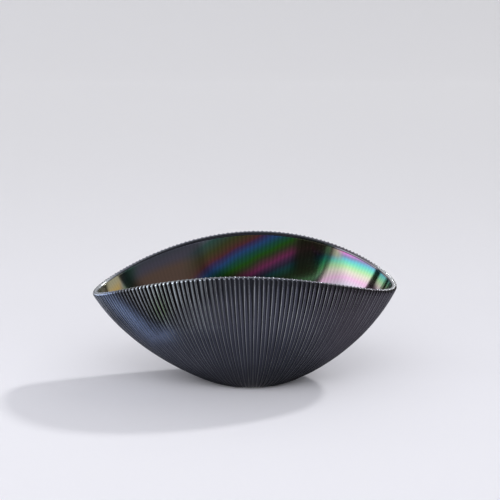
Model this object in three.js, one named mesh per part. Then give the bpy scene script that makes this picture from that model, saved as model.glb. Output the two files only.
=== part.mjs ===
// Art glass bowl: an oval bowl folded up into a saddle-shaped rim, in cased glass.
// A dark casing carries fine ribs on its outside, and a thin iridised lining sits inside it.
// Millimetres, +Z up. The origin lies on the table, under the middle of the rim's plan.
import { Color, CubicBezierCurve3, Group, LatheGeometry, Mesh, MeshStandardMaterial,
  Vector2, Vector3 } from 'three';

// ---- driving dimensions --------------------------------------------------------------------
const halfLength = 126;         // rim, from the middle to either end along X
const halfDepth = 74.4;           // rim, from the middle to the front or back along Y
const rimHeight = 91.2;         // mean height of the rim over the table
const saddleRise = 14.7;        // the sides stand this far above the mean, the ends below it
const saddleTwist = 1.9;        // moves the two high points round the rim a little
const endTilt = 3.1;            // the +X end stands this much above the mean, the -X end below
const sideTilt = 4.9;           // the back (+Y) stands this much above the mean, the front below
const footRadius = 31;          // flat ground foot
const footShift = 4.5;          // the foot's middle is this far towards +X of the rim's

const wallSlope = 71.7;         // degrees, mean slope of the wall where it meets the rim
const wallSlopeEnds = 9.7;      // degrees, flatter than that at the ends, steeper at the sides
const wallSlopeTilt = 2.5;      // degrees, steeper at the +X end than at the -X end
const footReach = 0.12;         // share of the outside wall's run that leaves the foot level
const rimReach = 0.28;          // share of the wall's run that follows the rim's slope

const rimThickness = 4.6;
const footThickness = 7;        // glass between the table and the edge of the inside floor
const floorShare = 0.8;         // radius of the inside floor over the foot's
const floorReach = 0.2;         // share of the inside wall's run that leaves the floor level
const floorDip = 1;             // the inside floor is this much lower at its middle

const liningThickness = 0.8;
const liningDrop = 0.016;       // share of the wall's height left bare of lining at the rim
const seatGap = 0.3;            // clearance between the lining's back and the casing
const edgeGap = 0.002;          // the same at the lining's top edge, as a share of the height

const mainRibs = 96;
const ribCrowding = 0.04;       // ribs stand a little closer together along the sides
const ribDepth = 1;             // at the rim
const ribDepthFoot = 0.4;       // share of that depth left where the ribs reach the foot
const ribRunOut = 0.05;         // share of the wall over which a rib fades into the foot

const wallRows = 10;
const rowCrowding = 1.3;        // above 1, the rows stand closer together near the foot
const beadRows = 4;
const liningColumns = 96;

// ---- the two surfaces of the wall ----------------------------------------------------------
const degrees = Math.PI / 180;

function rimPoint(angle) {
  const saddle = saddleTwist * Math.sin(2 * angle) - saddleRise * Math.cos(2 * angle);
  const tilt = endTilt * Math.cos(angle) + sideTilt * Math.sin(angle);
  return new Vector3(halfLength * Math.cos(angle), halfDepth * Math.sin(angle), rimHeight + saddle + tilt);
}

function ringPoint(angle, radius, height) {
  return new Vector3(footShift + radius * Math.cos(angle), radius * Math.sin(angle), height);
}

// Moves out level from a start point, over a share of the way to an end point.
function reachOut(start, end, share) {
  return new Vector3(start.x + (end.x - start.x) * share, start.y + (end.y - start.y) * share, start.z);
}

// The outside of the wall is one Bezier curve from each point of the foot to the rim over it.
function outsideCurve(angle) {
  const foot = ringPoint(angle, footRadius, 0);
  const rim = rimPoint(angle);
  const slope = wallSlope + wallSlopeTilt * Math.cos(angle) - wallSlopeEnds * Math.cos(2 * angle);
  const nearRim = reachOut(rim, foot, rimReach);
  nearRim.z -= Math.hypot(rim.x - nearRim.x, rim.y - nearRim.y) * Math.tan(slope * degrees);
  return new CubicBezierCurve3(foot, reachOut(foot, rim, footReach), nearRim, rim);
}

// The inside keeps the outside's direction at the rim, and rounds into a smaller, higher floor.
function insideCurve(angle) {
  const outside = outsideCurve(angle);
  const across = outwardNormal(outsideCurve, angle, 1).multiplyScalar(-rimThickness);
  const floor = ringPoint(angle, footRadius * floorShare, footThickness);
  const rim = outside.v3.clone().add(across);
  const nearRim = outside.v2.clone().add(across);
  return new CubicBezierCurve3(floor, reachOut(floor, rim, floorReach), nearRim, rim);
}

function outwardNormal(curveAt, angle, height) {
  const step = 0.001;
  const along = curveAt(angle).getTangent(height);
  const around = curveAt(angle + step).getPoint(height).sub(curveAt(angle - step).getPoint(height));
  return around.cross(along).normalize();
}

// A point of either surface at a share of its height, moved out along its normal.
function wallPoint(curveAt, angle, height, outset) {
  const point = curveAt(angle).getPoint(height);
  return point.addScaledVector(outwardNormal(curveAt, angle, height), outset);
}

// Share of the wall's height that a given length takes up next to the rim.
function shareAtRim(angle, length) {
  const curve = outsideCurve(angle);
  return length / (3 * curve.v3.distanceTo(curve.v2));
}

function grooveDepth(height) {
  const runOut = Math.min(height / ribRunOut, 1);
  return ribDepth * (ribDepthFoot + (1 - ribDepthFoot) * height) * runOut;
}

// ---- rows of the two bodies ----------------------------------------------------------------
// A row is a function from an angle, and whether it lies in a groove, to a point.
const middleRow = (height) => () => new Vector3(footShift, 0, height);
const insideRow = (height, outset) => (angle) => wallPoint(insideCurve, angle, height, outset);

const ribbedRow = (height) => (angle, inGroove) =>
  wallPoint(outsideCurve, angle, height, inGroove ? -grooveDepth(height) : 0);

// The rim is rounded over: turn 0 is its outer edge and turn 1 its inner edge.
const beadRow = (turn) => (angle, inGroove) => {
  const drop = 1 - Math.sin(Math.PI * turn);
  const height = 1 - shareAtRim(angle, rimThickness / 2) * drop;
  const outer = ribbedRow(height)(angle, inGroove);
  const inner = wallPoint(insideCurve, angle, height, 0);
  return outer.lerp(inner, (1 - Math.cos(Math.PI * turn)) / 2);
};

// Shares of the wall's height, from 0 at the foot up to a top one.
function heightsUpTo(top) {
  return Array.from({ length: wallRows }, (_, row) => top * (row / (wallRows - 1)) ** rowCrowding);
}

// From the foot's middle up the ribbed outside, over the rim and down to the floor's middle.
function casingRows() {
  const outsideTop = 1 - 2 * liningDrop;
  const liningTop = 1 - liningDrop;
  const seat = liningThickness + seatGap;
  return [
    middleRow(0),
    ...heightsUpTo(outsideTop).map((height) => ribbedRow(height)),
    ...Array.from({ length: beadRows + 1 }, (_, row) => beadRow(row / beadRows)),
    insideRow(liningTop, 0),
    ...heightsUpTo(liningTop).reverse().map((height) => insideRow(height, seat)),
    middleRow(footThickness - floorDip - seat),
  ];
}

// From the middle of the lining's back up to its edge and down to the floor's middle.
function liningRows() {
  const top = 1 - liningDrop - edgeGap;
  return [
    middleRow(footThickness - floorDip - liningThickness),
    ...heightsUpTo(top).map((height) => insideRow(height, liningThickness)),
    ...heightsUpTo(top).reverse().map((height) => insideRow(height, 0)),
    middleRow(footThickness - floorDip),
  ];
}

// A lathe turns a plain profile with one point for each row, and every point of the turned
// surface then moves to its own place on the oval bowl.
function ovalLathe(rows, columns, ribbed) {
  const last = rows.length - 1;
  const profile = rows.map((_, row) => new Vector2(row === 0 || row === last ? 0 : footRadius, row));
  const geometry = new LatheGeometry(profile, columns);
  const position = geometry.getAttribute('position');
  for (let index = 0; index < position.count; index += 1) {
    const column = Math.floor(index / rows.length) % columns;
    const turn = 2 * Math.PI * column / columns;
    const angle = turn + ribCrowding * Math.sin(2 * turn);
    const point = rows[index % rows.length](angle, ribbed && column % 2 === 1);
    position.setXYZ(index, point.x, point.y, point.z);
  }
  geometry.computeVertexNormals();
  return geometry;
}

function glassPiece(name, geometry, look) {
  const piece = new Mesh(geometry, new MeshStandardMaterial(look));
  piece.name = name;
  return piece;
}

const bowl = new Group();
bowl.add(glassPiece('ribbed_casing', ovalLathe(casingRows(), 2 * mainRibs, true),
  { color: new Color(0.075, 0.08, 0.1), roughness: 0.25, metalness: 0.1 }));
bowl.add(glassPiece('iridised_lining', ovalLathe(liningRows(), liningColumns, false),
  { color: new Color(0.22, 0.12, 0.24), roughness: 0.12, metalness: 0.6 }));

export default bowl;
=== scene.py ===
# Art glass bowl: a ribbed near-black casing with a smooth iridised inside, in a pale studio.
# Metres, +Z up. The CAD frame gives the box; the wall's curves are the ones the CAD part uses.
import math

import bpy
import numpy as np
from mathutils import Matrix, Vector


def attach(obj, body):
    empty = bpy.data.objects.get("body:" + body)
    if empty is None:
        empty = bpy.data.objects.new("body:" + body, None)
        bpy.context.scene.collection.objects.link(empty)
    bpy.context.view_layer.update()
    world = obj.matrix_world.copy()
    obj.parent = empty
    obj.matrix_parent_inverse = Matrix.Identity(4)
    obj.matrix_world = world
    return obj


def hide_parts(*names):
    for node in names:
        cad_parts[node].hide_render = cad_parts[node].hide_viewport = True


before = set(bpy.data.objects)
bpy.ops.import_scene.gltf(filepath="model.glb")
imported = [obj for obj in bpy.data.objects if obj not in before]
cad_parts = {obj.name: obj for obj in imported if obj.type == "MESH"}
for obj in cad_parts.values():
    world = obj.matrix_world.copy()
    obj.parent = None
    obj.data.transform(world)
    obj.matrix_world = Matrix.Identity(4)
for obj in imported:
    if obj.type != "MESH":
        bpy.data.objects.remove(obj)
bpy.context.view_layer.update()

CASING = "ribbed_casing"
LINING = "iridised_lining"

# ---- shape: the wall, in metres and degrees --------------------------------------------------
HALF_LENGTH = 0.126             # rim, from the middle to either end
HALF_DEPTH = 0.0744             # rim, from the middle to the front or back
RIM_HEIGHT = 0.0912             # mean height of the rim
SADDLE_RISE = 0.0147            # the sides stand this far above the mean, the ends below it
SADDLE_TWIST = 0.0019           # moves the two high points round the rim a little
END_TILT = 0.0031               # the +X end stands this much above the mean
SIDE_TILT = 0.0049              # the back stands this much above the mean
FOOT_RADIUS = 0.031
FOOT_SHIFT = 0.0045
WALL_SLOPE = 71.7
WALL_SLOPE_ENDS = 9.7
WALL_SLOPE_TILT = 2.5
FOOT_REACH = 0.12
RIM_REACH = 0.28
RIM_THICKNESS = 0.0046
FOOT_THICKNESS = 0.007
FLOOR_SHARE = 0.8
FLOOR_REACH = 0.2
FLOOR_DIP = 0.001
LINING_THICKNESS = 0.0008
LINING_DROP = 0.016             # share of the wall's height left bare of lining at the rim
SEAM_GAP = 0.00006              # the lining's back clears the casing by this much
EDGE_GAP = 0.0006               # the same at the lining's edge, as a share of the height
EDGE_ROW = 0.0012               # an extra row this close to an edge keeps it crisp

# ---- shape: the ribs -------------------------------------------------------------------------
MAIN_RIBS = 96                  # full-height ribs; a short rib stands between each two
RIB_CROWDING = 0.04             # ribs stand a little closer together along the sides
FLUTE_DEPTH = 0.00115           # scooped depth of a flute at the rim
FLUTE_DEPTH_FOOT = 0.4          # share of that depth left at the foot
RIB_RUN_OUT = 0.03              # share of the height over which the ribs fade into the foot
SHORT_RIB_DROP = 0.2            # share of the flute's depth that a short rib stands lower at the rim
SHORT_RIB_END = (0.16, 0.5)     # heights between which a short rib dies away downwards
FLUTE_STEPS = (0.0, 0.09, 0.3, 0.5, 0.7, 0.91)     # points across a flute, arris to arris
RIDGE_WIDTH = 0.09              # share of a flute over which the painted highlight line on an arris fades
SHORT_RIDGE = 0.6               # strength of that line on a short rib
RIM_RIDGE = 0.6                 # and where it runs over the rim
SHADE_LINE_PLACES = (0.5, 0.7, 0.91)     # the painted shade line left of an arris: at these places across the flute it is this dark
SHADE_LINE_STRENGTHS = (0.0, 0.6, 1.0)      # the flute it is this dark
WOBBLE = 0.0022                 # radians by which the hand-cut ribs wander to either side
WOBBLE_WAVES = (4, 11)          # radians of that wander's wave over the wall's height, at random
WOBBLE_SEED = 7
RIM_SCALLOP = 0.6               # share of a flute's depth by which it also notches the rim's top
BARE_RIM = 0.3                  # share of the way over the rim where its painted glow and roughness are full

# ---- how finely the meshes are divided -------------------------------------------------------
OUTSIDE_ROWS = 48
BEAD_ROWS = 10
SEAT_ROWS = 20
LINING_COLUMNS = 320
LINING_ROWS = 72
ROW_CROWDING = 1.15             # a power above 1 crowds the rows towards the foot
FLOOR_RINGS = (0.75, 0.5, 0.25)     # the rings on the lining's floor, as shares of its edge


def vector(x, y, z):
    return np.stack(np.broadcast_arrays(x, y, z), axis=-1).astype(float)


def unit(v):
    return v / np.linalg.norm(v, axis=-1, keepdims=True)


def smooth(low, high, value):
    share = np.clip((value - low) / (high - low), 0, 1)
    return share * share * (3 - 2 * share)


def rim_point(angle):
    saddle = SADDLE_TWIST * np.sin(2 * angle) - SADDLE_RISE * np.cos(2 * angle)
    tilt = END_TILT * np.cos(angle) + SIDE_TILT * np.sin(angle)
    return vector(HALF_LENGTH * np.cos(angle), HALF_DEPTH * np.sin(angle), RIM_HEIGHT + saddle + tilt)


def ring_point(angle, radius, height):
    return vector(FOOT_SHIFT + radius * np.cos(angle), radius * np.sin(angle), height)


def reach_out(start, end, share):
    """Moves level from start, over a share of the way to end."""
    point = start.copy()
    point[..., :2] += (end[..., :2] - start[..., :2]) * share
    return point


def outside_curve(angle):
    foot = ring_point(angle, FOOT_RADIUS, 0)
    rim = rim_point(angle)
    slope = WALL_SLOPE + WALL_SLOPE_TILT * np.cos(angle) - WALL_SLOPE_ENDS * np.cos(2 * angle)
    near_rim = reach_out(rim, foot, RIM_REACH)
    run = np.linalg.norm((rim - near_rim)[..., :2], axis=-1)
    near_rim[..., 2] -= run * np.tan(np.radians(slope))
    return foot, reach_out(foot, rim, FOOT_REACH), near_rim, rim


def inside_curve(angle):
    outside = outside_curve(angle)
    across = -RIM_THICKNESS * outward_normal(outside_curve, angle, 1.0)
    floor = ring_point(angle, FOOT_RADIUS * FLOOR_SHARE, FOOT_THICKNESS)
    rim = outside[3] + across
    return floor, reach_out(floor, rim, FLOOR_REACH), outside[2] + across, rim


def curve_point(curve, height):
    t = np.asarray(height, float)[..., None]
    foot, near_foot, near_rim, rim = curve
    return ((1 - t) ** 3 * foot + 3 * (1 - t) ** 2 * t * near_foot
            + 3 * (1 - t) * t ** 2 * near_rim + t ** 3 * rim)


def curve_tangent(curve, height):
    t = np.asarray(height, float)[..., None]
    foot, near_foot, near_rim, rim = curve
    return ((1 - t) ** 2 * (near_foot - foot) + 2 * (1 - t) * t * (near_rim - near_foot)
            + t ** 2 * (rim - near_rim))


def outward_normal(curve_at, angle, height):
    step = 0.001
    around = curve_point(curve_at(angle + step), height) - curve_point(curve_at(angle - step), height)
    return unit(np.cross(around, curve_tangent(curve_at(angle), height)))


def wall_point(curve_at, angle, height, outset):
    """A point of either surface at a share of its height, moved out along its normal."""
    outset = np.asarray(outset, float)[..., None]
    return curve_point(curve_at(angle), height) + outset * outward_normal(curve_at, angle, height)


def share_at_rim(angle, length):
    """Share of the wall's height that a length takes up next to the rim."""
    near_rim, rim = outside_curve(angle)[2:]
    return length / (3 * np.linalg.norm(rim - near_rim, axis=-1))


# ---- the ribs: scooped flutes that meet in arrises -------------------------------------------
def rib_columns():
    """Turn, place across its flute, and whether its left arris is a full rib, for each column."""
    flutes = 2 * MAIN_RIBS
    steps = np.array(FLUTE_STEPS)
    turn = (np.arange(flutes)[:, None] + steps[None, :]) / flutes
    place = np.broadcast_to(steps, turn.shape)
    full_first = np.broadcast_to((np.arange(flutes) % 2 == 0)[:, None], turn.shape)
    return turn.ravel(), place.ravel(), full_first.ravel()


def rib_inset(place, full_first, height):
    """How far the ribbed surface lies inside the wall's own surface."""
    depth = FLUTE_DEPTH * (FLUTE_DEPTH_FOOT + (1 - FLUTE_DEPTH_FOOT) * height)
    alive = smooth(*SHORT_RIB_END, height)
    short_drop = depth * (1 - (1 - SHORT_RIB_DROP) * alive)
    toward_short = np.where(full_first, place, 1 - place)
    scoop = 1 - (2 * place - 1) ** 2
    halved = short_drop * toward_short + depth * scoop * (1 - 0.5 * short_drop / depth)
    whole = depth * (1 - (1 - toward_short) ** 2)
    inset = halved * alive + whole * (1 - alive)
    return inset * smooth(0, RIB_RUN_OUT, height)


def ridge_share(place, full_first, height):
    """Strength of the painted highlight line: 1 on the arris of a full rib, less on a short rib, 0 in
    the flutes.
    """
    alive = smooth(*SHORT_RIB_END, height)
    from_left = np.clip(1 - place / RIDGE_WIDTH, 0, 1)
    from_right = np.clip(1 - (1 - place) / RIDGE_WIDTH, 0, 1)
    left = np.where(full_first, 1.0, SHORT_RIDGE * alive)
    right = np.where(full_first, SHORT_RIDGE * alive, 1.0)
    return from_left * left + from_right * right


def shade_line_share(place, full_first, height):
    """1 in the painted shade line on the left of a full rib's arris, less beside a short rib."""
    alive = smooth(*SHORT_RIB_END, height)
    strength = np.where(full_first, SHORT_RIDGE * alive, 1.0)
    return np.interp(place, SHADE_LINE_PLACES, SHADE_LINE_STRENGTHS) * strength


def wobble(height):
    """How far each column wanders sideways at a height, blended between its two ribs."""
    random = np.random.default_rng(WOBBLE_SEED)
    waves = random.uniform(*WOBBLE_WAVES, 2 * MAIN_RIBS)
    phases = random.uniform(0, 2 * math.pi, 2 * MAIN_RIBS)
    sway = WOBBLE * np.sin(waves * height + phases)
    steps = np.array(FLUTE_STEPS)
    return (sway[:, None] * (1 - steps) + np.roll(sway, -1)[:, None] * steps).ravel()


def spread(turn):
    """The angle of a column, from its even place round the bowl."""
    even = 2 * math.pi * turn
    return even + RIB_CROWDING * np.sin(2 * even)


def add_object(name, data):
    piece = bpy.data.objects.new(name, data)
    bpy.context.scene.collection.objects.link(piece)
    return piece


# ---- meshes made of rings --------------------------------------------------------------------
RIDGE_LAYER = "ridge"           # 1 along an arris: its painted highlight line, and more roughness
SHADE_LINE_LAYER = "shade_line"           # 1 in the painted shade line beside it
FLANK_LAYER = "flank"           # the place across a flute
RIM_LAYER = "rim"               # 1 on the bare rim, for its painted glow and roughness


def ring_mesh(name, rings, low_pole, high_pole, layers):
    """Joins equal rings of points with quads and closes both ends with fans to a point.

    layers holds values at each ring's points, by name, for the material."""
    count, columns = len(rings), len(rings[0])
    points = np.concatenate([*rings, [low_pole], [high_pole]])
    here = np.arange(columns)
    after = (here + 1) % columns
    quads = [np.stack([here + r * columns, after + r * columns,
                       after + (r + 1) * columns, here + (r + 1) * columns], axis=-1)
             for r in range(count - 1)]
    low, high = count * columns, count * columns + 1
    fans = [(low, int(b), int(a)) for a, b in zip(here, after)]
    top = (count - 1) * columns
    fans += [(high, int(a) + top, int(b) + top) for a, b in zip(here, after)]
    faces = [tuple(quad) for quad in np.concatenate(quads).tolist()] + fans
    mesh = bpy.data.meshes.new(name)
    mesh.from_pydata(points.tolist(), [], faces)
    mesh.polygons.foreach_set("use_smooth", [True] * len(mesh.polygons))
    mesh.update()
    for layer_name, values in layers.items():
        layer = mesh.attributes.new(layer_name, "FLOAT", "POINT")
        layer.data.foreach_set("value", np.concatenate([*values, [0.0, 0.0]]))
    return add_object(name, mesh)


def heights_up_to(top, rows):
    heights = top * (np.arange(rows) / (rows - 1)) ** ROW_CROWDING
    return np.insert(heights, rows - 1, top - EDGE_ROW)


def outside_rows(angle, place, full_first):
    """Points, painted highlight line, painted shade line and bare rim of each row, from the foot up to
    the start of the rim.
    """
    ones = np.ones_like(angle)
    for height in heights_up_to(1 - 2 * LINING_DROP, OUTSIDE_ROWS):
        inset = rib_inset(place, full_first, height)
        ring = wall_point(outside_curve, angle + wobble(height), height * ones, -inset)
        ridge = ridge_share(place, full_first, height)
        shade_line = shade_line_share(place, full_first, height)
        yield ring, ridge, shade_line, 0 * ones


def rim_rows(angle, place, full_first):
    """The same for the rounded rim, from the outside over to the inside."""
    ones = np.ones_like(angle)
    angle = angle + wobble(1.0)
    scallop = share_at_rim(angle, RIM_SCALLOP * rib_inset(place, full_first, 1.0))
    for bead in np.linspace(0, 1, BEAD_ROWS + 1):
        drop = 1 - math.sin(math.pi * bead)
        height = 1 - share_at_rim(angle, RIM_THICKNESS / 2) * drop - scallop * (1 - drop)
        outer = wall_point(outside_curve, angle, height, -rib_inset(place, full_first, height))
        inner = wall_point(inside_curve, angle, height, 0)
        across = (1 - math.cos(math.pi * bead)) / 2
        ridge = ridge_share(place, full_first, 1.0) * (1 - across) * RIM_RIDGE
        shade_line = shade_line_share(place, full_first, 1.0) * (1 - across)
        yield outer + (inner - outer) * across, ridge, shade_line, smooth(0.0, BARE_RIM, across) * ones


def seat_rings(angle, seat):
    """The bare inside down to the lining's edge, then the seat that the lining lies in."""
    ones = np.ones_like(angle)
    lining_top = 1 - LINING_DROP
    for height in (lining_top + EDGE_ROW, lining_top):
        yield wall_point(inside_curve, angle, height * ones, 0)
    for height in heights_up_to(lining_top, SEAT_ROWS)[::-1]:
        yield wall_point(inside_curve, angle, height * ones, seat)


def make_casing():
    turn, place, full_first = rib_columns()
    angle = spread(turn)
    seat = LINING_THICKNESS + SEAM_GAP
    rows = [*outside_rows(angle, place, full_first), *rim_rows(angle, place, full_first)]
    rings, ridges, shade_lines, rims = [list(values) for values in zip(*rows)]
    flanks = [place] * len(rings)
    rings += seat_rings(angle, seat)
    layers = {RIDGE_LAYER: ridges, SHADE_LINE_LAYER: shade_lines, FLANK_LAYER: flanks, RIM_LAYER: rims}
    for values in layers.values():
        values += [np.zeros_like(angle)] * (len(rings) - len(values))
    low = (FOOT_SHIFT, 0, 0)
    high = (FOOT_SHIFT, 0, FOOT_THICKNESS - FLOOR_DIP - seat)
    return ring_mesh("Ribbed_Casing", rings, low, high, layers)


def make_lining():
    angle = spread(np.arange(LINING_COLUMNS) / LINING_COLUMNS)
    ones = np.ones_like(angle)
    top = 1 - LINING_DROP - EDGE_GAP
    rings = [wall_point(inside_curve, angle, height * ones, LINING_THICKNESS)
             for height in heights_up_to(top, SEAT_ROWS)]
    rings += [wall_point(inside_curve, angle, height * ones, 0)
              for height in heights_up_to(top, LINING_ROWS)[::-1]]
    edge = inside_curve(angle)[0]
    for share in FLOOR_RINGS:
        ring = edge.copy()
        ring[:, 0] = FOOT_SHIFT + (edge[:, 0] - FOOT_SHIFT) * share
        ring[:, 1] = edge[:, 1] * share
        ring[:, 2] = FOOT_THICKNESS - FLOOR_DIP * (1 - share ** 2)
        rings.append(ring)
    low = (FOOT_SHIFT, 0, FOOT_THICKNESS - FLOOR_DIP - LINING_THICKNESS)
    high = (FOOT_SHIFT, 0, FOOT_THICKNESS - FLOOR_DIP)
    return ring_mesh("Iridised_Lining", rings, low, high, {})


# ---- materials -------------------------------------------------------------------------------
class Nodes:
    """Short calls for building a node tree."""

    def __init__(self, tree):
        self.tree = tree

    def add(self, kind, **values):
        node = self.tree.nodes.new(kind)
        for key, value in values.items():
            setattr(node, key, value)
        return node

    def put(self, socket, value):
        if isinstance(value, bpy.types.NodeSocket):
            self.tree.links.new(value, socket)
        else:
            socket.default_value = value

    def math(self, operation, *values):
        node = self.add("ShaderNodeMath", operation=operation)
        for socket, value in zip(node.inputs, values):
            self.put(socket, value)
        return node.outputs[0]

    def noise(self, place, scale, detail=3.0):
        node = self.add("ShaderNodeTexNoise")
        self.put(node.inputs["Vector"], place)
        node.inputs["Scale"].default_value = scale
        node.inputs["Detail"].default_value = detail
        return node.outputs["Fac"]

    def ramp(self, value, start, end, low=0.0, high=1.0):
        """Goes smoothly from low at start to high at end."""
        node = self.add("ShaderNodeMapRange", interpolation_type="SMOOTHSTEP")
        for socket, number in zip(node.inputs, (value, start, end, low, high)):
            self.put(socket, number)
        return node.outputs[0]

    def band(self, value, low, high, soft):
        """1 between low and high, 0 outside, with soft edges."""
        rise = self.ramp(value, low - soft, low + soft)
        fall = self.ramp(value, high - soft, high + soft, 1.0, 0.0)
        return self.math("MULTIPLY", rise, fall)

    def bump(self, value, centre, width):
        """1 at the centre, dying away smoothly over the width on both sides."""
        offset = self.math("DIVIDE", self.math("SUBTRACT", value, centre), width)
        square = self.math("MULTIPLY", offset, offset)
        return self.math("EXPONENT", self.math("MULTIPLY", square, -1.0))

    def total(self, *values):
        result = values[0]
        for value in values[1:]:
            result = self.math("ADD", result, value)
        return result

    def product(self, *values):
        result = values[0]
        for value in values[1:]:
            result = self.math("MULTIPLY", result, value)
        return result

    def mix(self, share, first, second):
        node = self.add("ShaderNodeMix", data_type="RGBA")
        self.put(node.inputs["Factor"], share)
        self.put(node.inputs["A"], first)
        self.put(node.inputs["B"], second)
        return node.outputs["Result"]

    def tint(self, value, colour):
        """A colour scaled by a value."""
        node = self.add("ShaderNodeVectorMath", operation="SCALE")
        self.put(node.inputs[0], colour[:3] if isinstance(colour, tuple) else colour)
        self.put(node.inputs["Scale"], value)
        return node.outputs[0]

    def add_colours(self, *colours):
        result = colours[0]
        for colour in colours[1:]:
            node = self.add("ShaderNodeVectorMath", operation="ADD")
            self.put(node.inputs[0], result)
            self.put(node.inputs[1], colour)
            result = node.outputs[0]
        return result


def new_material(name):
    material = bpy.data.materials.new(name)
    material.use_nodes = True
    return material, Nodes(material.node_tree), material.node_tree.nodes["Principled BSDF"]


def object_place(nodes):
    """The object-space place, and its three coordinates."""
    place = nodes.add("ShaderNodeTexCoord").outputs["Object"]
    split = nodes.add("ShaderNodeSeparateXYZ")
    nodes.put(split.inputs[0], place)
    return place, *split.outputs


# ---- the lining's film -----------------------------------------------------------------------
# The colours that the film returns as its order rises, as (order, colour). Past the last one
# they run back again.
FILM_COLOURS = (
    (-0.15, (0.21, 0.21, 0.29)), (0.12, (0.19, 0.19, 0.25)), (0.32, (0.06, 0.14, 0.12)),
    (0.62, (0.09, 0.10, 0.04)), (0.78, (0.13, 0.08, 0.045)), (0.92, (0.17, 0.055, 0.065)),
    (1.02, (0.09, 0.06, 0.18)), (1.18, (0.04, 0.12, 0.32)), (1.35, (0.025, 0.14, 0.10)),
    (1.51, (0.035, 0.15, 0.02)), (1.66, (0.07, 0.08, 0.04)), (1.80, (0.19, 0.055, 0.10)),
    (1.89, (0.27, 0.05, 0.16)), (2.00, (0.12, 0.05, 0.12)), (2.10, (0.05, 0.05, 0.09)),
    (2.20, (0.03, 0.10, 0.12)), (2.32, (0.04, 0.14, 0.10)), (2.46, (0.09, 0.15, 0.08)),
    (2.60, (0.14, 0.14, 0.11)), (2.85, (0.16, 0.10, 0.14)), (3.10, (0.13, 0.12, 0.14)))
FILM_MIDDLE = 0.027             # the order changes fastest round this X
FILM_SPREAD = 0.050             # and over this distance either side
FILM_ORDERS = (1.11, 1.0)       # order at the rim there, and how far it swings either way
FILM_FALL = 33.0                # orders gained for each metre below the rim
FILM_FALL_RIGHT = 0.27          # share more of that towards +X
FILM_FALL_LEFT = 0.1            # share of that left under the rim at the -X end
FILM_DRIFT = 0.25               # orders by which the bands wander, at this scale of noise
DRIFT_SCALE = 30.0

# Where the inside changes, in metres. A pair is where a change starts and where it is complete,
# and two more numbers are its values there. Depths are measured down from the rim.
RIGHT_END = (0.060, 0.085)      # along X
UPPER_PART = (0.060, 0.040)     # depth
LEFT_FALL = (-0.095, -0.030)    # along X, for FILM_FALL_LEFT
LEFT_ORDERS = (0.0, -0.050, 0.0, -0.27)     # along X: fewer orders towards -X
LEFT_END = (-0.030, -0.058)     # along X: the film pales to slate, mauve and brown

DULL_COLOUR = (0.10, 0.105, 0.065, 1)   # the film is dull in a strip right of the middle
DULL_STRIP = (0.044, 0.060, 0.004)      # from and to, along X, with this soft an edge
DULL_SHARE = 0.75
DULL_EDGE = (0.057, 0.082, 0.004)       # and in a shallow strip along the edge beside it
DULL_EDGE_DEPTH = (0.012, 0.005)
DULL_EDGE_SHARE = 0.85
SLATE_COLOUR = (0.13, 0.14, 0.18, 1)    # at the left end, under the rim
MAUVE_COLOUR = (0.165, 0.155, 0.21, 1)  # then mauve,
MAUVE_DEPTH = (0.004, 0.012)
BROWN_COLOUR = (0.25, 0.165, 0.13, 1)   # then brown further down
BROWN_DEPTH = (0.011, 0.021)
TEAL_COLOUR = (0.06, 0.16, 0.12, 1)     # a teal strip follows
TEAL_STRIP = (-0.0985, 0.006)           # its middle and its width along X
TEAL_SHARE = 0.8
CREAM_COLOUR = (0.24, 0.24, 0.19, 1)    # and the tip turns cream
CREAM_TIP = (-0.102, -0.107)             # along X
GOLD_COLOUR = (0.30, 0.23, 0.10, 1)     # and to gold below that
GOLD_DEPTH = (0.006, 0.016)

INNER_LINES = 2 * MAIN_RIBS     # faint upright lines that the ribs leave in the inside
LINE_STRENGTH = (-0.060, -0.010, 0.05, 0.14)    # along X
LINE_FADING = 0.09              # less of it at the right end
DARK_STRIP = (0.064, 0.070, 1.0, 0.75)          # the film darkens along X, then brightens to the +X end: a painted highlight on the panel it mirrors there
BRIGHT_PANEL = (0.077, 0.090, 1.0, 1.55)        # then brightens to the +X end
LINING_ROUGHNESS = 0.1


def film_colour(nodes, order):
    """The colour at a film order, from the list above, folded back at both ends of it."""
    first, last = FILM_COLOURS[0][0], FILM_COLOURS[-1][0]
    node = nodes.add("ShaderNodeValToRGB")
    stops = node.color_ramp.elements
    for stop, colour in FILM_COLOURS[1:-1]:
        stops.new((stop - first) / (last - first))
    for stop, (place, colour) in zip(stops, FILM_COLOURS):
        stop.color = (*colour, 1)
    folded = nodes.math("PINGPONG", nodes.math("SUBTRACT", order, first), last - first)
    nodes.put(node.inputs[0], nodes.math("DIVIDE", folded, last - first))
    return node.outputs["Color"]


def rim_height(nodes, x):
    """Height of the back rim above a place on the inside."""
    along = nodes.math("DIVIDE", x, HALF_LENGTH)
    square = nodes.product(along, along)
    side = nodes.math("SQRT", nodes.math("MAXIMUM", nodes.math("SUBTRACT", 1.0, square), 0.0))
    return nodes.total(nodes.product(square, -2 * SADDLE_RISE), nodes.product(along, END_TILT),
                       nodes.product(side, SIDE_TILT), RIM_HEIGHT + SADDLE_RISE)


def inner_lines(nodes, x, y):
    """A wave with one crest for each upright line round the inside."""
    across = nodes.math("DIVIDE", y, HALF_DEPTH)
    along = nodes.math("DIVIDE", x, HALF_LENGTH)
    angle = nodes.math("ARCTAN2", across, along)
    twice = nodes.math("SINE", nodes.product(angle, 2.0))
    even = nodes.math("SUBTRACT", angle, nodes.product(twice, RIB_CROWDING))
    return nodes.math("SINE", nodes.product(even, INNER_LINES))


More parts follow.
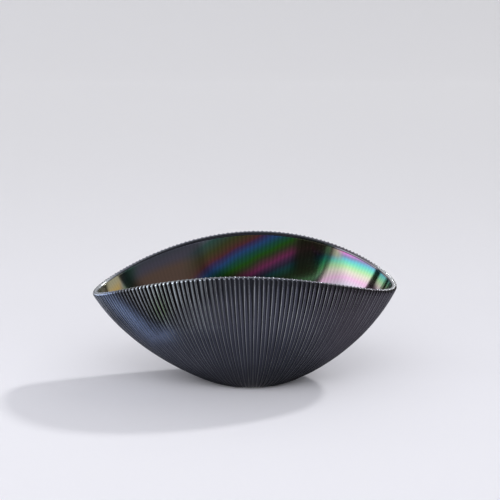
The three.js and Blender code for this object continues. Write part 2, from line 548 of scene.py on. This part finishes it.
def film_order(nodes, place, x, below, upper, right):
    """The film's order, which picks its colour: it rises towards +X and down the wall."""
    along = nodes.math("TANH", nodes.math("DIVIDE", nodes.math("SUBTRACT", x, FILM_MIDDLE), FILM_SPREAD))
    start = nodes.math("MULTIPLY_ADD", along, FILM_ORDERS[1], FILM_ORDERS[0])
    start = nodes.total(start, nodes.ramp(x, *LEFT_ORDERS))
    fall = nodes.math("MULTIPLY_ADD", right, FILM_FALL * FILM_FALL_RIGHT, FILM_FALL)
    shallow = nodes.math("MULTIPLY_ADD", upper, FILM_FALL_LEFT - 1.0, 1.0)
    fall = nodes.product(fall, nodes.ramp(x, *LEFT_FALL, shallow, 1.0))
    drift = nodes.math("SUBTRACT", nodes.noise(place, DRIFT_SCALE, detail=2.0), 0.5)
    return nodes.total(start, nodes.product(fall, below), nodes.product(drift, FILM_DRIFT))


def left_end_colour(nodes, colour, x, below, upper):
    """The film's colour with the paler and worn areas of the left end laid over it."""
    slate = nodes.mix(nodes.ramp(below, *MAUVE_DEPTH), SLATE_COLOUR, MAUVE_COLOUR)
    slate = nodes.mix(nodes.ramp(below, *BROWN_DEPTH), slate, BROWN_COLOUR)
    colour = nodes.mix(nodes.product(nodes.ramp(x, *LEFT_END), upper), colour, slate)
    colour = nodes.mix(nodes.product(nodes.bump(x, *TEAL_STRIP), TEAL_SHARE), colour, TEAL_COLOUR)
    tip_colour = nodes.mix(nodes.ramp(below, *GOLD_DEPTH), CREAM_COLOUR, GOLD_COLOUR)
    return nodes.mix(nodes.ramp(x, *CREAM_TIP), colour, tip_colour)


def iridised_glass():
    material, nodes, shader = new_material("Iridised_Glass")
    place, x, y, z = object_place(nodes)
    right = nodes.ramp(x, *RIGHT_END)
    below = nodes.math("SUBTRACT", rim_height(nodes, x), z)
    upper = nodes.ramp(below, *UPPER_PART)
    order = film_order(nodes, place, x, below, upper, right)
    strip = nodes.product(nodes.band(x, *DULL_STRIP), upper, DULL_SHARE)
    edge = nodes.product(nodes.band(x, *DULL_EDGE), nodes.ramp(below, *DULL_EDGE_DEPTH), DULL_EDGE_SHARE)
    colour = nodes.mix(nodes.math("MAXIMUM", strip, edge), film_colour(nodes, order), DULL_COLOUR)
    colour = left_end_colour(nodes, colour, x, below, upper)
    faint = nodes.total(nodes.ramp(x, *LINE_STRENGTH), nodes.product(right, -LINE_FADING))
    strength = nodes.math("MULTIPLY_ADD", inner_lines(nodes, x, y), faint, 1.0)
    # the film's colour darkens along X, then is brightened as a painted highlight on the mirrored panel
    # at the +X end
    strength = nodes.product(strength, nodes.ramp(x, *DARK_STRIP), nodes.ramp(x, *BRIGHT_PANEL))
    nodes.put(shader.inputs["Base Color"], nodes.tint(strength, colour))
    shader.inputs["Metallic"].default_value = 1.0
    shader.inputs["Roughness"].default_value = LINING_ROUGHNESS
    return material


# ---- the casing's glass ----------------------------------------------------------------------
# The casing's colours and where they lie, in metres. Pairs and fours are as for the lining, and
# names in RIGHT, LEFT, TIP and GROWTH run along X.
BODY_COLOUR = (0.056, 0.059, 0.079, 1)
BODY_COLOUR_RIGHT = (0.064, 0.057, 0.071, 1)    # the glass is warmer towards +X
BODY_RIGHT = (0.030, 0.090)
FOOT_PAINTED_SHADE = (0.0, 0.035, 0.38, 1.0)        # painted shade near the floor, fading out up from the foot
PATCHINESS_SCALE = 35.0                       # the painted highlights, the rim's painted glow and the blush are patchy by a noise of this scale, whose values turn into these strengths
PATCHINESS = (0.3, 0.7, 0.6, 1.0)             # whose values turn into these strengths

RIDGE_HIGHLIGHT_COLOUR = (0.88, 0.92, 0.98, 1)    # a painted highlight along the arrises
RIDGE_HIGHLIGHT_DULLING = (0.035, 0.085, 0.42, 1.0)       # the painted highlight is duller low down
# painted shade: the dark line beside each arris, and the unlit part of the flutes
PAINTED_SHADE_COLOUR = (0.012, 0.012, 0.016, 1)
SHADE_LINE_SHARE = 0.95
CALM_RIGHT = (0.045, 0.080, 1.0, 0.4)   # the painted highlight and shade lines are both calmer towards +X, less so high up
CALM_HIGH = (0.070, 0.085, 1.0, 1.6)    # less so high up
RIM_GLOW_COLOUR = (0.26, 0.27, 0.28, 1)      # a painted glow of light through the bare rim, at both ends
RIM_ENDS = (0.104, 0.120, 0.15, 1.0)    # along X, either way

FRONT = (0.0, -0.02)                    # along Y: the painted flank highlight and the blush lie on the front only
FLANK_HIGHLIGHT_COLOUR = (0.80, 0.88, 0.98, 1)   # a painted highlight on the left side of every rib, high up towards -X
FLANK_HIGHLIGHT_PLACES = (0.44, 0.60)            # across a flute
FLANK_HIGHLIGHT_HEIGHT = (-0.010, 0.006)         # above the blush line
FLANK_HIGHLIGHT_LEFT = (-0.004, -0.070)          # starts here
FLANK_HIGHLIGHT_TIP = (-0.125, -0.095, 0.4, 1.0)     # and is weaker at the tip
FLANK_HIGHLIGHT_GROWTH = (-0.040, -0.072, 0.55, 1.0)     # its colour is darker where it starts
GLINT_COLOUR = (0.42, 0.70, 0.20, 1)    # a small patch of that painted highlight is a green painted glint
GLINT_X = (-0.066, 0.008)               # its middle and its width
GLINT_Z = (0.070, 0.014)
GLINT_SHARE = 0.7
BLUSH_COLOUR = (0.30, 0.40, 0.67, 1)    # below that painted highlight
BLUSH_LINE = (-0.72, 0.002)             # the two meet at this height, slope times X plus a height
BLUSH_LOWEST = 0.056                    # but no lower than this
BLUSH_BAND = (-0.004, 0.011)            # its middle above the line, and its width
BLUSH_LEFT = (-0.045, -0.092)
BLUSH_TIP = (-0.120, -0.095, 0.5, 1.0)
BLUSH_CALMING = 0.6                     # share of the painted highlight marks that the blush takes away

CASING_ROUGHNESS = 0.06
RIDGE_ROUGHNESS = 0.45                  # more on the arrises
RIM_ROUGHNESS = 0.12                    # and on the bare rim


def dark_glass():
    material, nodes, shader = new_material("Dark_Glass")
    place, x, y, z = object_place(nodes)
    ridge, shade_line, flank, rim = [nodes.add("ShaderNodeAttribute", attribute_name=name).outputs["Fac"]
                                for name in (RIDGE_LAYER, SHADE_LINE_LAYER, FLANK_LAYER, RIM_LAYER)]
    # noise that makes the painted highlights, rim glow and blush patchy
    patchiness = nodes.ramp(nodes.noise(place, PATCHINESS_SCALE), *PATCHINESS)
    line = nodes.math("MAXIMUM", nodes.math("MULTIPLY_ADD", x, *BLUSH_LINE), BLUSH_LOWEST)
    above = nodes.math("SUBTRACT", z, line)
    front = nodes.ramp(y, *FRONT)
    # where the painted flank highlight lies
    highlight_zone = nodes.product(nodes.ramp(above, *FLANK_HIGHLIGHT_HEIGHT), nodes.ramp(x, *FLANK_HIGHLIGHT_LEFT),
                          nodes.ramp(x, *FLANK_HIGHLIGHT_TIP), front)
    blush = nodes.product(nodes.bump(above, *BLUSH_BAND), nodes.ramp(x, *BLUSH_LEFT),
                          nodes.ramp(x, *BLUSH_TIP), front)
    past_blush = nodes.math("MULTIPLY_ADD", blush, -BLUSH_CALMING, 1.0)
    calm = nodes.product(nodes.ramp(x, *CALM_RIGHT), nodes.ramp(z, *CALM_HIGH))
    calm = nodes.math("MINIMUM", calm, 1.0)

    body = nodes.mix(nodes.ramp(x, *BODY_RIGHT), BODY_COLOUR, BODY_COLOUR_RIGHT)
    body = nodes.mix(nodes.product(blush, patchiness), body, BLUSH_COLOUR)
    # painted shade: the dark line beside each arris, kept off the flank highlight and the blush
    depth = nodes.product(shade_line, nodes.math("SUBTRACT", 1.0, nodes.math("MAXIMUM", highlight_zone, blush)),
                          calm, SHADE_LINE_SHARE)
    body = nodes.mix(depth, body, PAINTED_SHADE_COLOUR)

    # a green painted glint within the flank highlight
    green = nodes.product(nodes.bump(x, *GLINT_X), nodes.bump(z, *GLINT_Z), front)
    bright = nodes.mix(nodes.product(green, GLINT_SHARE), FLANK_HIGHLIGHT_COLOUR, GLINT_COLOUR)
    bright = nodes.tint(nodes.ramp(x, *FLANK_HIGHLIGHT_GROWTH), bright)
    bright = nodes.mix(blush, bright, BLUSH_COLOUR)
    # the flutes there are painted: a highlight on one side, painted shade on the rest
    flank_highlight = nodes.product(nodes.ramp(flank, *FLANK_HIGHLIGHT_PLACES), patchiness)
    body = nodes.mix(nodes.product(highlight_zone, past_blush), body, nodes.mix(flank_highlight, PAINTED_SHADE_COLOUR, bright))

    # painted highlight along the arrises
    pale = nodes.product(ridge, patchiness, calm, past_blush)
    colour = nodes.mix(pale, body, nodes.tint(nodes.ramp(z, *RIDGE_HIGHLIGHT_DULLING), RIDGE_HIGHLIGHT_COLOUR))
    ends = nodes.ramp(nodes.math("ABSOLUTE", x), *RIM_ENDS)
    # painted glow on the bare rim at both ends
    colour = nodes.mix(nodes.product(rim, ends, patchiness), colour, RIM_GLOW_COLOUR)
    # painted shade towards the foot, where the bowl mirrors the shadowed floor beneath it
    nodes.put(shader.inputs["Base Color"], nodes.tint(nodes.ramp(z, *FOOT_PAINTED_SHADE), colour))
    shader.inputs["Metallic"].default_value = 1.0
    rough = nodes.math("MULTIPLY_ADD", ridge, RIDGE_ROUGHNESS, CASING_ROUGHNESS)
    nodes.put(shader.inputs["Roughness"], nodes.math("MULTIPLY_ADD", rim, RIM_ROUGHNESS, rough))
    return material


# ---- the studio's paper ----------------------------------------------------------------------
SWEEP_BEND = 3.0                # the floor begins to curve up this far behind the bowl
PAPER_POOL = 0.8                # a painted pool of light: the paper is palest this far round a point this far in front
PAPER_FADE = 0.8                # and past that it fades over this distance into painted shade
PAPER_GRAIN = 260.0
PALE_PAPER = ((0.815, 0.815, 0.850, 1), (0.825, 0.825, 0.860, 1))   # the grain's two shades
# painted shade: the paper's colour far from the bowl
SHADED_FAR_PAPER = (0.593, 0.593, 0.603, 1)
SWEEP_DIMMING = 0.16            # painted shade: dims the paper for each metre past the bend
PAPER_EVENING = -0.08           # shade gained for each metre towards +X, to even out the light
PAPER_ROUGHNESS = 0.9
PAPER_GLOSS = 0.1


def studio_paper(name):
    material, nodes, shader = new_material(name)
    place, x, y, z = object_place(nodes)
    # over its grain, the paper is painted with a pool of light near the bowl, fading into painted shade
    # far off and up the sweep
    near = nodes.mix(nodes.noise(place, PAPER_GRAIN), *PALE_PAPER)
    ahead = nodes.math("ADD", y, PAPER_POOL)
    reach = nodes.math("SQRT", nodes.total(nodes.product(x, x), nodes.product(ahead, ahead)))
    past = nodes.math("MAXIMUM", nodes.math("SUBTRACT", reach, PAPER_POOL), 0.0)
    fade = nodes.math("EXPONENT", nodes.math("DIVIDE", past, -PAPER_FADE))
    up_sweep = nodes.math("MAXIMUM", nodes.math("SUBTRACT", y, SWEEP_BEND), 0.0)
    dimmed = nodes.math("DIVIDE", 1.0, nodes.math("MULTIPLY_ADD", up_sweep, SWEEP_DIMMING, 1.0))
    shaded_far = nodes.tint(dimmed, SHADED_FAR_PAPER)
    evened = nodes.math("MULTIPLY_ADD", x, PAPER_EVENING, 1.0)
    nodes.put(shader.inputs["Base Color"], nodes.tint(evened, nodes.mix(fade, shaded_far, near)))
    shader.inputs["Roughness"].default_value = PAPER_ROUGHNESS
    shader.inputs["Specular IOR Level"].default_value = PAPER_GLOSS
    return material


# ---- the stage -------------------------------------------------------------------------------
SWEEP_HALF_WIDTH = 14.0
SWEEP_FRONT = -14.0
SWEEP_BACK = 5.0                # the backdrop stands here,
SWEEP_WALL = 3.0                # upright for this height above the curve
SWEEP_STEPS = 24                # flats that the curve is made of


def flat_mesh(name, points, faces, material):
    mesh = bpy.data.meshes.new(name)
    mesh.from_pydata(points, [], faces)
    mesh.polygons.foreach_set("use_smooth", [True] * len(mesh.polygons))
    mesh.materials.append(material)
    return add_object(name, mesh)


def make_stage():
    """A floor that sweeps up into a backdrop well behind the bowl."""
    radius = SWEEP_BACK - SWEEP_BEND
    outline = [(SWEEP_FRONT, 0.0), (0.0, 0.0), (SWEEP_BEND, 0.0)]
    for step in range(1, SWEEP_STEPS + 1):
        turn = math.pi / 2 * step / SWEEP_STEPS
        outline.append((SWEEP_BEND + radius * math.sin(turn), radius * (1 - math.cos(turn))))
    outline.append((SWEEP_BACK, SWEEP_WALL + radius))
    points = [(side * SWEEP_HALF_WIDTH, y, z) for y, z in outline for side in (-1, 1)]
    faces = [(2 * i, 2 * i + 1, 2 * i + 3, 2 * i + 2) for i in range(len(outline) - 1)]
    sweep = flat_mesh("Studio_Sweep", points, faces, studio_paper("Studio_Paper"))
    sweep.visible_glossy = False


# The part of the floor that the bowl's outside mirrors, as X and Y round its edge. Past it the
# mirror sees the room.
NEAR_FLOOR = ((-0.40, 0.30), (-0.215, -0.03), (-0.16, -0.06), (-0.08, -0.085), (-0.045, -0.12),
              (0.0, -0.175), (0.08, -0.19), (0.20, -0.16), (0.40, 0.30))
NEAR_FLOOR_LIFT = 0.0004        # it lies this far above the sweep


def make_near_floor():
    points = [(x, y, NEAR_FLOOR_LIFT) for x, y in NEAR_FLOOR]
    piece = flat_mesh("Near_Floor", points, [tuple(range(len(points)))], studio_paper("Near_Paper"))
    piece.visible_camera = False
    piece.visible_diffuse = False
    piece.visible_shadow = False
    piece.visible_transmission = False


KEY_TARGET = Vector((0, 0, 0.08))       # the key lamp faces this point


def direction(azimuth, elevation):
    """A direction from the bowl: azimuth 0 is towards the front, 90 towards +X."""
    azimuth, elevation = math.radians(azimuth), math.radians(elevation)
    return Vector((math.sin(azimuth) * math.cos(elevation), -math.cos(azimuth) * math.cos(elevation),
                   math.sin(elevation)))


def aim(piece, way):
    """Turns a lamp or a camera so that it faces along a direction."""
    piece.rotation_euler = way.to_track_quat("-Z", "Y").to_euler()


def area_light(name, azimuth, elevation, distance, width, height, radiance, colour):
    """A rectangular light that faces the bowl. Its power follows from its radiance."""
    light = bpy.data.lights.new(name, "AREA")
    light.shape = "RECTANGLE"
    light.size = width
    light.size_y = height
    light.energy = radiance * math.pi * width * height
    light.color = colour
    lamp = add_object(name, light)
    lamp.location = KEY_TARGET + direction(azimuth, elevation) * distance
    aim(lamp, KEY_TARGET - lamp.location)
    lamp.visible_camera = False


def far_light(name, azimuth, elevation, spread_angle, strength, colour):
    """A soft light from far away. The glass doesn't mirror it: it mirrors the room instead."""
    light = bpy.data.lights.new(name, "SUN")
    light.angle = math.radians(spread_angle)
    light.energy = strength
    light.color = colour
    lamp = add_object(name, light)
    aim(lamp, -direction(azimuth, elevation))
    lamp.visible_glossy = False


# ---- the room that the glass mirrors ---------------------------------------------------------
# What the glass mirrors, given in degrees. Panels give azimuths from and to with a soft
# edge, elevations from and to with a soft edge, and a strength.
PALE_PANELS = (
    (-88, -42, 1.5, 0, 31, 2.0, 5.0),           # a tall softbox on the left
    (-22, 16, 2.0, 5.5, 16, 1.5, 0.29),         # a dim panel in front
    (16, 62, 8.0, 3, 30, 3.0, 0.2),             # and one to the right of it
    (-122, -101, 2.0, 12, 22, 1.5, 3.0))        # a small softbox at back left
GREEN_PANELS = (
    (-39.5, -37.5, 0.7, 10, 20, 1.5, 1.6),      # an upright edge beside the softbox
    (-38, -22, 1.0, 19.5, 21, 0.5, 1.2))        # and a sill to the right of it
WARM_PANELS = (
    (80, 125, 2.0, 23, 38, 1.5, 1.1),)          # a warm one on the right
# Parts of the floor beyond the near floor: azimuths from and to, a soft edge and a strength.
FLOOR_PANELS = (
    (-130, -40, 8.0, 0.62),
    (-181, -130, 3.0, 0.9),
    (-13, 13, 4.0, 0.35),
    (48, 181, 8.0, 0.62))
HORIZON = (-2, 2)
BACKDROP_SIDES = (125, 140)     # azimuths either way from which the backdrop starts
BACKDROP_HEIGHT = (-4, 75, 6.0)
BACKDROP_STRENGTH = 0.6
CEILING_START = (36, 46)        # elevations over which the ceiling starts
CEILING_SIDES = (40, 80, 0.7, 1.6)      # azimuths either way over which it brightens
ROOM_GLOW = 0.085               # everywhere, the gaps between the panels too
PALE_LIGHT = (0.97, 0.98, 1.0)
WARM_LIGHT = (1.0, 0.93, 0.78)
GREEN_LIGHT = (0.35, 1.0, 0.62)
GLOW_LIGHT = (1.0, 0.97, 0.93)
AMBIENT_COLOUR = (0.37, 0.37, 0.385, 1)     # what lights the matt surfaces from all round
BACKDROP_COLOUR = (0.66, 0.66, 0.69, 1)     # what the camera sees past the sweep


def room_panels(nodes, azimuth, elevation, panels):
    """The sum of the panels' brightness in a direction."""
    lit = []
    for start, end, soft, low, high, soft_height, strength in panels:
        lit.append(nodes.product(nodes.band(azimuth, start, end, soft),
                                 nodes.band(elevation, low, high, soft_height), strength))
    return nodes.total(*lit)


def mirrored_room(nodes, azimuth, elevation):
    """What the glass mirrors in a direction: panels, floor, backdrop and ceiling over a glow."""
    below = nodes.math("SUBTRACT", 1.0, nodes.ramp(elevation, *HORIZON))
    floor = [nodes.product(nodes.band(azimuth, start, end, soft), below, strength)
             for start, end, soft, strength in FLOOR_PANELS]
    sides = nodes.math("ABSOLUTE", azimuth)
    backdrop = nodes.product(nodes.ramp(sides, *BACKDROP_SIDES),
                             nodes.band(elevation, *BACKDROP_HEIGHT), BACKDROP_STRENGTH)
    ceiling = nodes.product(nodes.ramp(elevation, *CEILING_START), nodes.ramp(sides, *CEILING_SIDES))
    pale = nodes.total(room_panels(nodes, azimuth, elevation, PALE_PANELS), *floor, backdrop, ceiling)
    warm = room_panels(nodes, azimuth, elevation, WARM_PANELS)
    green = room_panels(nodes, azimuth, elevation, GREEN_PANELS)
    return nodes.add_colours(nodes.tint(pale, PALE_LIGHT), nodes.tint(warm, WARM_LIGHT),
                             nodes.tint(green, GREEN_LIGHT), nodes.tint(ROOM_GLOW, GLOW_LIGHT))


def make_world():
    world = bpy.data.worlds.new("Studio")
    bpy.context.scene.world = world
    world.use_nodes = True
    nodes = Nodes(world.node_tree)
    split = nodes.add("ShaderNodeSeparateXYZ")
    nodes.put(split.inputs[0], nodes.add("ShaderNodeTexCoord").outputs["Generated"])
    x, y, z = split.outputs
    to_degrees = 180 / math.pi
    azimuth = nodes.product(nodes.math("ARCTAN2", x, nodes.math("MULTIPLY", y, -1.0)), to_degrees)
    elevation = nodes.product(nodes.math("ARCSINE", z), to_degrees)
    path = nodes.add("ShaderNodeLightPath").outputs
    room = mirrored_room(nodes, azimuth, elevation)
    colour = nodes.mix(path["Is Glossy Ray"], AMBIENT_COLOUR, room)
    colour = nodes.mix(path["Is Camera Ray"], colour, BACKDROP_COLOUR)
    nodes.put(world.node_tree.nodes["Background"].inputs["Color"], colour)


# ---- lamps and camera ------------------------------------------------------------------------
KEY_COLOUR = (1.0, 0.99, 0.99)
FILL_COLOUR = (0.99, 0.99, 1.03)


def make_lights():
    area_light("Key", azimuth=131, elevation=40, distance=8.0, width=0.69, height=0.69,
               radiance=150.0, colour=KEY_COLOUR)
    for number, azimuth in enumerate((-30, 0, 30)):
        far_light("Front_%d" % number, azimuth, elevation=28, spread_angle=80, strength=0.745,
                  colour=FILL_COLOUR)
    far_light("Back_Right", azimuth=122, elevation=38, spread_angle=60, strength=0.42,
              colour=FILL_COLOUR)
    far_light("Side", azimuth=-90, elevation=15, spread_angle=25, strength=0.33, colour=FILL_COLOUR)


CAMERA_TARGET = Vector((0.0044, 0, 0.1082))
CAMERA_ELEVATION = 11           # degrees above level
CAMERA_DISTANCE = 1.2313
CAMERA_LENS = 108               # millimetres, as is the sensor
CAMERA_SENSOR = 36


def make_camera():
    camera = bpy.data.cameras.new("Camera")
    camera.sensor_width = CAMERA_SENSOR
    camera.lens = CAMERA_LENS
    holder = add_object("Camera", camera)
    holder.location = CAMERA_TARGET + direction(0, CAMERA_ELEVATION) * CAMERA_DISTANCE
    aim(holder, CAMERA_TARGET - holder.location)
    bpy.context.scene.camera = holder


make_camera()
make_world()
make_lights()
make_stage()
make_near_floor()

casing = make_casing()
casing.data.materials.append(dark_glass())
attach(casing, "root")
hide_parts(CASING)

lining = make_lining()
lining.data.materials.append(iridised_glass())
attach(lining, "root")
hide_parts(LINING)

bpy.context.scene.view_settings.view_transform = "Standard"
